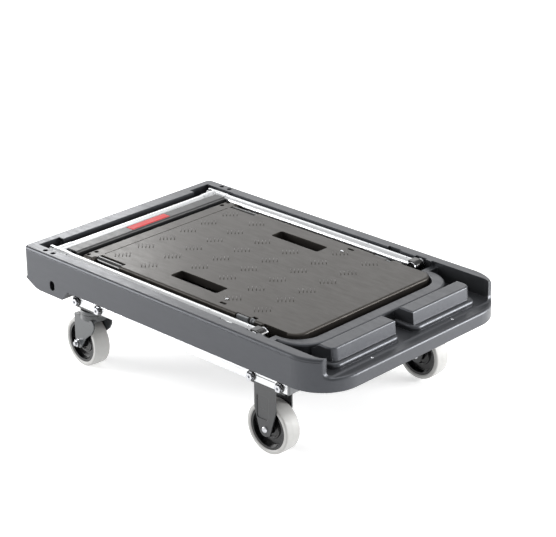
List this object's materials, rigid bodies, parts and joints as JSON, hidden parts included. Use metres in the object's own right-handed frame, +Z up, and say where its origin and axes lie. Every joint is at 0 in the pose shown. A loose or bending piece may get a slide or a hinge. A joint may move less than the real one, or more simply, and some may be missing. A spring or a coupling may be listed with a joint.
{
  "type": "folding shopping cart",
  "caption": "Folding two-deck shopping cart, folded flat as a low platform: telescoping handle, scissor-lifted upper deck, fixed and swivel casters.",
  "frame": {"origin": "on the floor, under the middle of the folded cart", "axes": "+X from the folded handle's grip to the end where the handle is hinged, +Y to the right for a person who pushes the open cart, +Z up"},
  "size_m": [0.793, 0.5, 0.232],
  "materials": {
    "deck_plastic": "moulded, fine texture",
    "grip_plastic": "moulded, fine texture",
    "black_plastic": "moulded",
    "grey_plastic": "moulded",
    "red_plastic": "moulded",
    "pale_tread": "moulded, satin",
    "satin_aluminium": "satin anodised",
    "cast_aluminium": "cast and tumbled",
    "dark_painted_steel": "semi-gloss paint",
    "zinc_steel": "bright zinc"
  },
  "bodies": {
    "base": {"lower_deck": "deck_plastic", "rail_left": "satin_aluminium", "rail_right": "satin_aluminium", "rail_end_caps": "grey_plastic", "cross_members": "dark_painted_steel", "rail_bolts": "zinc_steel", "rail_nuts": "zinc_steel", "deck_screws": "zinc_steel", "fixed_fork_left": "dark_painted_steel", "fixed_fork_right": "dark_painted_steel", "fixed_axle_left": "zinc_steel", "fixed_axle_right": "zinc_steel", "swivel_plate_left": "dark_painted_steel", "swivel_plate_right": "dark_painted_steel", "kingpins": "zinc_steel", "handle_bracket_left": "zinc_steel", "handle_bracket_right": "zinc_steel", "handle_pins": "zinc_steel", "scissor_brackets": "dark_painted_steel"},
    "handle_frame": {"handle_tube_left": "satin_aluminium", "handle_tube_right": "satin_aluminium", "hinge_plug_left": "black_plastic", "hinge_plug_right": "black_plastic", "guide_bushes": "black_plastic", "tube_rivets": "zinc_steel"},
    "handle_top": {"inner_tube_left": "satin_aluminium", "inner_tube_right": "satin_aluminium", "tail_glides": "black_plastic", "corner_piece_left": "cast_aluminium", "corner_piece_right": "cast_aluminium", "crossbar": "satin_aluminium", "grip_shell_top": "grip_plastic", "grip_shell_bottom": "grip_plastic", "grip_screws": "zinc_steel", "release_spring": "zinc_steel"},
    "release_button": {"release_button": "red_plastic"},
    "outer_struts": {"outer_strut_left": "dark_painted_steel", "outer_strut_right": "dark_painted_steel", "scissor_rod": "zinc_steel", "outer_glides": "black_plastic"},
    "inner_struts": {"inner_strut_left": "dark_painted_steel", "inner_strut_right": "dark_painted_steel", "floor_axle": "zinc_steel", "floor_rollers": "black_plastic"},
    "upper_deck": {"upper_deck": "deck_plastic", "deck_hinge_pins": "zinc_steel", "deck_catch": "black_plastic", "edge_tabs": "grey_plastic"},
    "caster_left": {"swivel_fork_left": "dark_painted_steel", "swivel_axle_left": "zinc_steel"},
    "caster_right": {"swivel_fork_right": "dark_painted_steel", "swivel_axle_right": "zinc_steel"},
    "fixed_wheel_left": {"fixed_hub_left": "black_plastic", "fixed_tyre_left": "pale_tread"},
    "fixed_wheel_right": {"fixed_hub_right": "black_plastic", "fixed_tyre_right": "pale_tread"},
    "swivel_wheel_left": {"swivel_hub_left": "black_plastic", "swivel_tyre_left": "pale_tread"},
    "swivel_wheel_right": {"swivel_hub_right": "black_plastic", "swivel_tyre_right": "pale_tread"}
  },
  "joints": [
    {"name": "handle_fold", "type": "hinge", "parent": "base", "child": "handle_frame", "pos_m": [0.2035, 0, 0.22], "axis": [0, 1, 0], "range_deg": [0, 110]},
    {"name": "handle_extend", "type": "slide", "parent": "handle_frame", "child": "handle_top", "axis": [-1, 0, 0], "range_m": [0, 0.3]},
    {"name": "button_press", "type": "slide", "parent": "handle_top", "child": "release_button", "axis": [0, 0, -1], "range_m": [0, 0.003], "stiffness_N_per_m": 1500, "springref_m": -0.0005, "deforming": ["release_spring"]},
    {"name": "deck_lift", "type": "hinge", "parent": "base", "child": "outer_struts", "pos_m": [0.1795, 0, 0.2], "axis": [0, 1, 0], "range_deg": [0, 58]},
    {"name": "scissor_pivot", "type": "hinge", "parent": "outer_struts", "child": "inner_struts", "pos_m": [-0.0355, 0, 0.2], "axis": [0, 1, 0], "range_deg": [-116, 0]},
    {"name": "deck_hinge", "type": "hinge", "parent": "inner_struts", "child": "upper_deck", "pos_m": [0.1795, 0, 0.2], "axis": [0, 1, 0], "range_deg": [0, 58]},
    {"name": "caster_turn_left", "type": "hinge", "parent": "base", "child": "caster_left", "pos_m": [-0.256, -0.197, 0], "axis": [0, 0, 1], "continuous": true},
    {"name": "swivel_wheel_spin_left", "type": "hinge", "parent": "caster_left", "child": "swivel_wheel_left", "pos_m": [-0.28086, -0.19439, 0.05], "axis": [0.1045, 0.9945, 0], "continuous": true},
    {"name": "caster_turn_right", "type": "hinge", "parent": "base", "child": "caster_right", "pos_m": [-0.256, 0.197, 0], "axis": [0, 0, 1], "continuous": true},
    {"name": "swivel_wheel_spin_right", "type": "hinge", "parent": "caster_right", "child": "swivel_wheel_right", "pos_m": [-0.28086, 0.19961, 0.05], "axis": [0.1045, 0.9945, 0], "continuous": true},
    {"name": "fixed_wheel_spin_left", "type": "hinge", "parent": "base", "child": "fixed_wheel_left", "pos_m": [0.2315, -0.2052, 0.05], "axis": [0, 1, 0], "continuous": true},
    {"name": "fixed_wheel_spin_right", "type": "hinge", "parent": "base", "child": "fixed_wheel_right", "pos_m": [0.2315, 0.2052, 0.05], "axis": [0, 1, 0], "continuous": true}
  ],
  "couplings": [
    {"joint": "handle_extend", "follows": "handle_fold", "m_per_rad": 0.15626},
    {"joint": "scissor_pivot", "follows": "deck_lift", "ratio": -2},
    {"joint": "deck_hinge", "follows": "deck_lift", "ratio": 1}
  ]
}
